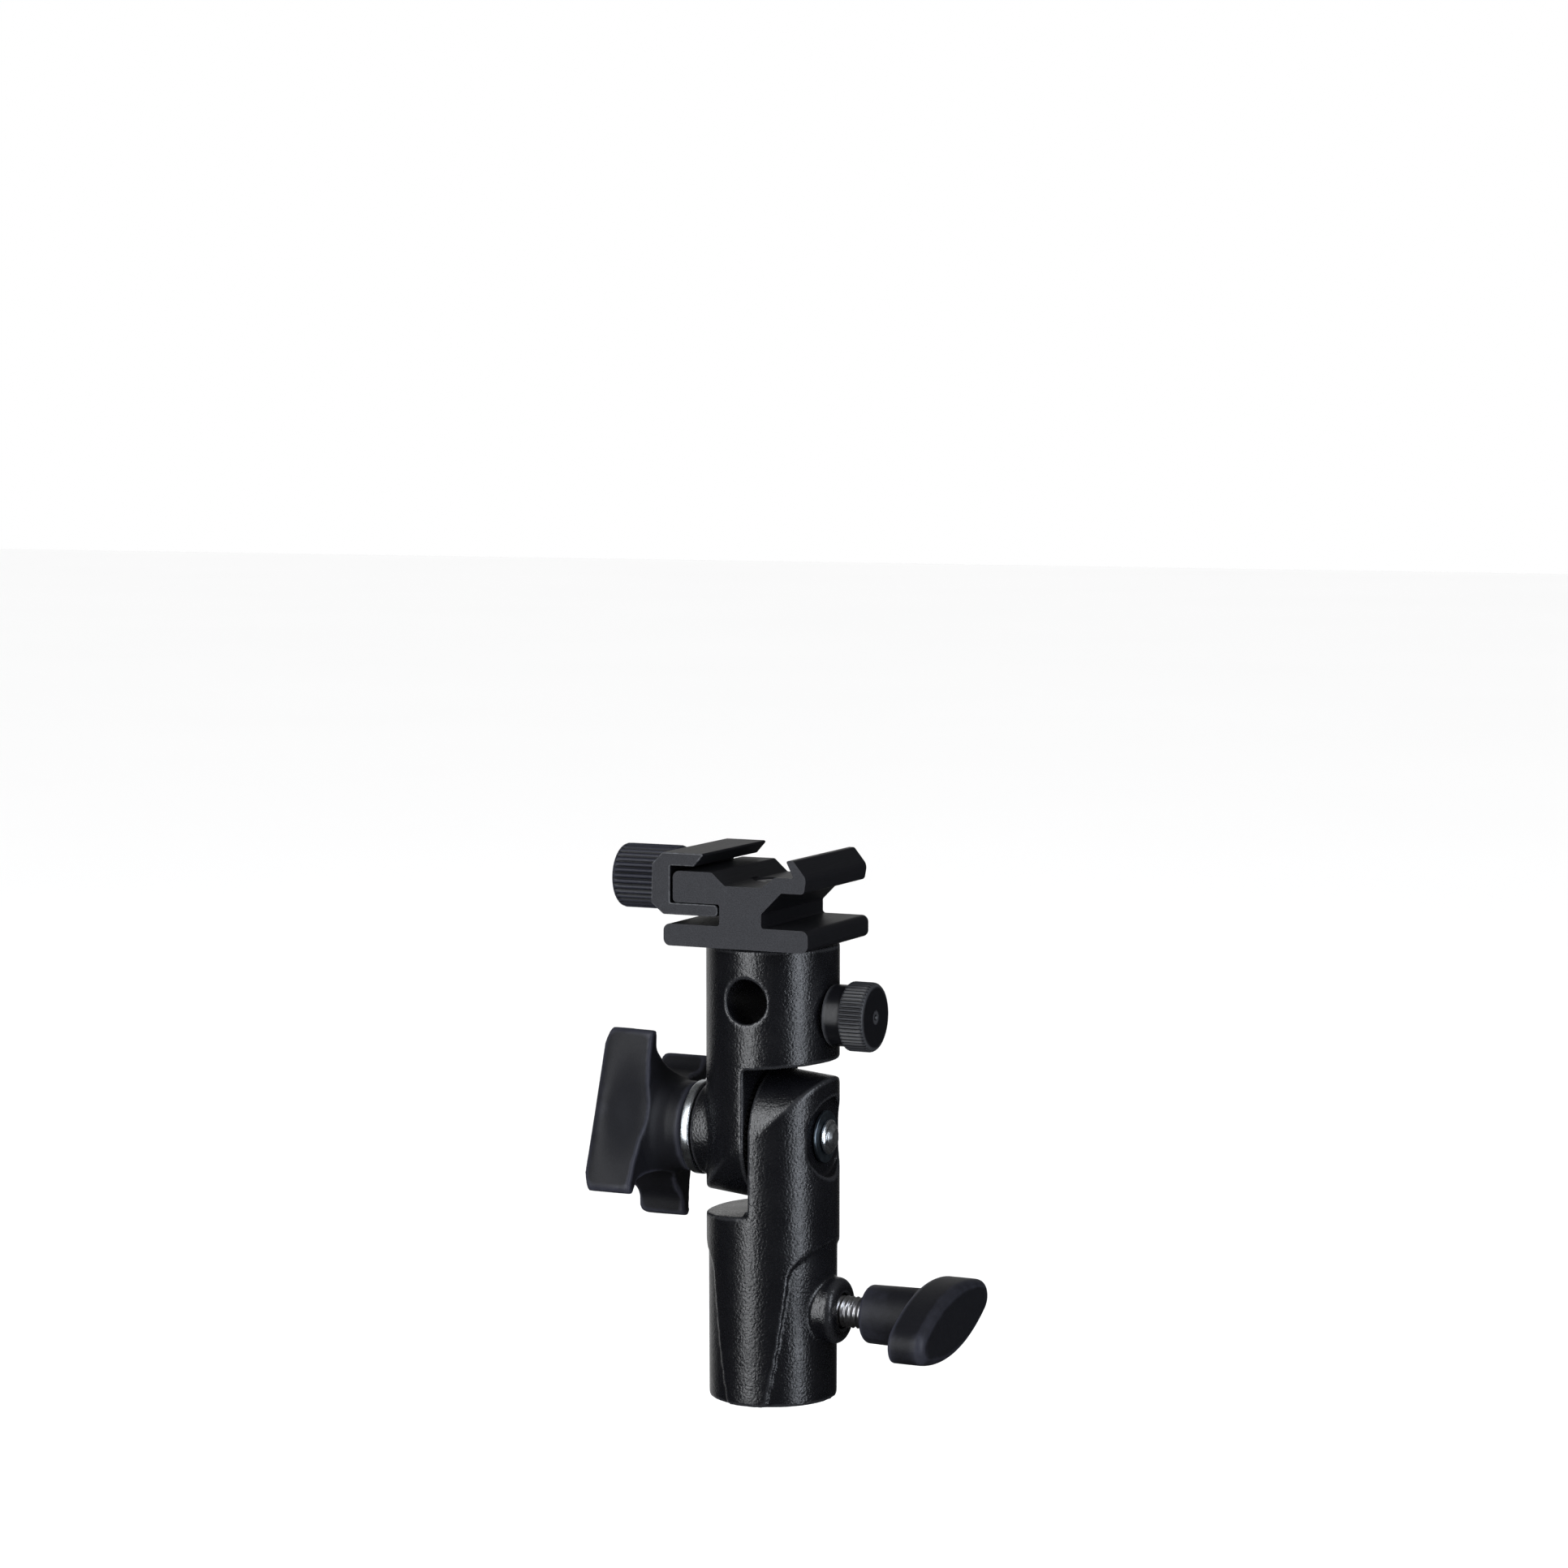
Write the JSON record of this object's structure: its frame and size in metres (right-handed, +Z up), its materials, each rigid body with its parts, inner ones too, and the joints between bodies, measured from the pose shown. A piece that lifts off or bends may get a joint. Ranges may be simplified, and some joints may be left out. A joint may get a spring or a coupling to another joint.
{
  "type": "umbrella swivel bracket",
  "caption": "Tilting light-stand bracket with a stud socket, a toothed hinge, an umbrella shaft hole and a clamping flash shoe.",
  "frame": {"origin": "centre of the stand socket's mouth, on the bracket's long axis", "axes": "+Z up the bracket from the socket to the shoe, +X towards the stand screw and the umbrella screw, -Y the front, where the umbrella hole opens higher"},
  "size_m": [0.0685, 0.0362, 0.1032],
  "materials": {
    "casting_paint": "gloss black paint with a fine orange-peel texture",
    "anodised_aluminium": "blasted and black anodised",
    "knob_plastic": "matte moulded black",
    "lacquered_metal": "satin black",
    "steel": "turned, lightly plated",
    "zinc_plate": "bright zinc plate",
    "brass": "turned"
  },
  "bodies": {
    "stand_socket": {"lower_body": "casting_paint", "tilt_bolt": "steel", "tilt_bolt_washer": "zinc_plate", "tilt_spring": "steel"},
    "swivel_head": {"upper_body": "casting_paint", "shoe_rail": "anodised_aluminium", "shoe_screw": "steel", "shoe_locating_pin": "steel"},
    "stand_shank": {"stand_screw": "steel"},
    "stand_handle": {"stand_knob": "knob_plastic"},
    "umbrella_shank": {"umbrella_screw": "steel"},
    "umbrella_thumb": {"umbrella_knob": "lacquered_metal"},
    "tilt_clamp": {"tilt_washer": "zinc_plate"},
    "tilt_handle": {"tilt_knob": "knob_plastic", "tilt_knob_insert": "brass"},
    "jaw": {"shoe_jaw": "anodised_aluminium"},
    "jaw_handle": {"jaw_screw": "steel", "jaw_knob": "knob_plastic"}
  },
  "joints": [
    {"name": "head_tilt", "type": "hinge", "parent": "stand_socket", "child": "swivel_head", "pos_m": [0, 0, 0.0497], "axis": [1, 0, 0], "range_deg": [-90, 90]},
    {"name": "stand_screw_travel", "type": "slide", "parent": "stand_socket", "child": "stand_shank", "axis": [1, 0, 0], "range_m": [-0.0045, 0.005]},
    {"name": "stand_knob_turn", "type": "hinge", "parent": "stand_shank", "child": "stand_handle", "pos_m": [0, 0, 0.017], "axis": [1, 0, 0], "range_deg": [-1621, 1801]},
    {"name": "umbrella_screw_travel", "type": "slide", "parent": "swivel_head", "child": "umbrella_shank", "axis": [1, 0, 0], "range_m": [0, 0.006]},
    {"name": "umbrella_knob_turn", "type": "hinge", "parent": "umbrella_shank", "child": "umbrella_thumb", "pos_m": [0, 0, 0.0727], "axis": [1, 0, 0], "range_deg": [0, 2161]},
    {"name": "tilt_clamp_travel", "type": "slide", "parent": "swivel_head", "child": "tilt_clamp", "axis": [-1, 0, 0], "range_m": [0, 0.003]},
    {"name": "tilt_knob_turn", "type": "hinge", "parent": "tilt_clamp", "child": "tilt_handle", "pos_m": [0, 0, 0.0497], "axis": [-1, 0, 0], "range_deg": [0, 1081]},
    {"name": "jaw_travel", "type": "slide", "parent": "swivel_head", "child": "jaw", "axis": [-1, 0, 0], "range_m": [-0.0002, 0.0035]},
    {"name": "jaw_knob_turn", "type": "hinge", "parent": "jaw", "child": "jaw_handle", "pos_m": [0, 0, 0.09688], "axis": [-1, 0, 0], "range_deg": [-145, 2521]}
  ],
  "couplings": [
    {"joint": "stand_knob_turn", "follows": "stand_screw_travel", "rad_per_m": 6283.2},
    {"joint": "umbrella_knob_turn", "follows": "umbrella_screw_travel", "rad_per_m": 6283.2},
    {"joint": "tilt_knob_turn", "follows": "tilt_clamp_travel", "rad_per_m": 6283.2},
    {"joint": "jaw_knob_turn", "follows": "jaw_travel", "rad_per_m": 12566}
  ]
}
